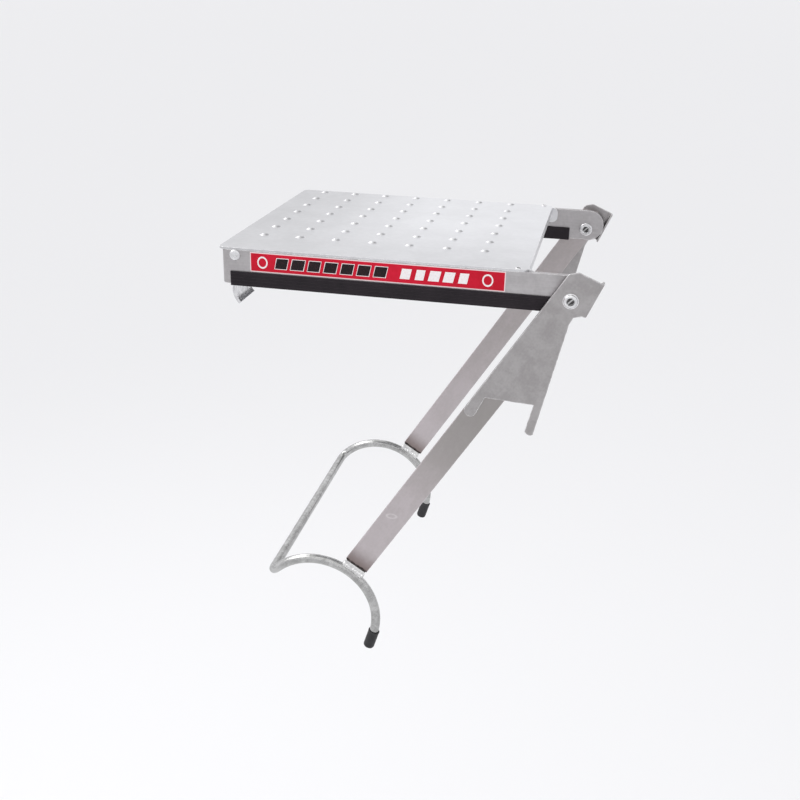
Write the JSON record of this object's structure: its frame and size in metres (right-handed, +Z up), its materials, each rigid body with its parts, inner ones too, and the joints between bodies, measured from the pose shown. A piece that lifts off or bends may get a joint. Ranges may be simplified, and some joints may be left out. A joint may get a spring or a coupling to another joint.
{
  "type": "ladder work platform",
  "caption": "Small dimpled standing platform that hooks over two rungs of a leaning ladder, with a folding brace and a bent hook rod.",
  "frame": {"origin": "on the axis of the upper rung that the platform hangs on, at mid width", "axes": "+X runs along the deck away from the ladder, +Y across the deck along the rungs, +Z up"},
  "size_m": [0.3604, 0.3042, 0.4215],
  "materials": {
    "cross_stiffener_front": "mill finish folded channel",
    "cross_stiffener_rear": "mill finish folded channel",
    "deck_plate": "mill finish sheet, dull clear coat",
    "deck_screws": "bright zinc plated",
    "edge_trim_left": "extruded, fine ribs",
    "edge_trim_right": "extruded, fine ribs",
    "frame_rail_left": "mill finish flat bar",
    "frame_rail_right": "mill finish flat bar",
    "frame_rivets": "bright",
    "hook_rivets": "bright",
    "hook_rod": "bright zinc plated",
    "pivot_bolt_left": "bright zinc plated",
    "pivot_bolt_right": "bright zinc plated",
    "pivot_nut_left": "bright zinc plated",
    "pivot_nut_right": "bright zinc plated",
    "rear_cross_bar": "mill finish flat bar",
    "rod_cap_left": "dipped vinyl",
    "rod_cap_right": "dipped vinyl",
    "rung_hook_left": "zinc plated",
    "rung_hook_right": "zinc plated",
    "side_label_left": "printed film",
    "side_label_right": "printed film",
    "spacer_bush_left": "zinc plated",
    "spacer_bush_right": "zinc plated",
    "strut_bar_left": "zinc plated flat bar",
    "strut_bar_right": "zinc plated flat bar",
    "strut_bracket_left": "zinc plated sheet",
    "strut_bracket_right": "zinc plated sheet",
    "weld_bead_left": "bare weld",
    "weld_bead_right": "bare weld"
  },
  "bodies": {
    "platform": {"cross_stiffener_front": "cross_stiffener_front", "cross_stiffener_rear": "cross_stiffener_rear", "deck_plate": "deck_plate", "deck_screws": "deck_screws", "edge_trim_left": "edge_trim_left", "edge_trim_right": "edge_trim_right", "frame_rail_left": "frame_rail_left", "frame_rail_right": "frame_rail_right", "frame_rivets": "frame_rivets", "hook_rivets": "hook_rivets", "pivot_bolt_left": "pivot_bolt_left", "pivot_bolt_right": "pivot_bolt_right", "pivot_nut_left": "pivot_nut_left", "pivot_nut_right": "pivot_nut_right", "rear_cross_bar": "rear_cross_bar", "rung_hook_left": "rung_hook_left", "rung_hook_right": "rung_hook_right", "side_label_left": "side_label_left", "side_label_right": "side_label_right", "spacer_bush_left": "spacer_bush_left", "spacer_bush_right": "spacer_bush_right"},
    "brace": {"hook_rod": "hook_rod", "rod_cap_left": "rod_cap_left", "rod_cap_right": "rod_cap_right", "strut_bar_left": "strut_bar_left", "strut_bar_right": "strut_bar_right", "strut_bracket_left": "strut_bracket_left", "strut_bracket_right": "strut_bracket_right", "weld_bead_left": "weld_bead_left", "weld_bead_right": "weld_bead_right"}
  },
  "joints": [
    {"name": "brace_fold", "type": "hinge", "parent": "platform", "child": "brace", "pos_m": [0.311, 0, 0.0315], "axis": [0, 1, 0], "range_deg": [0, 57.7]}
  ]
}
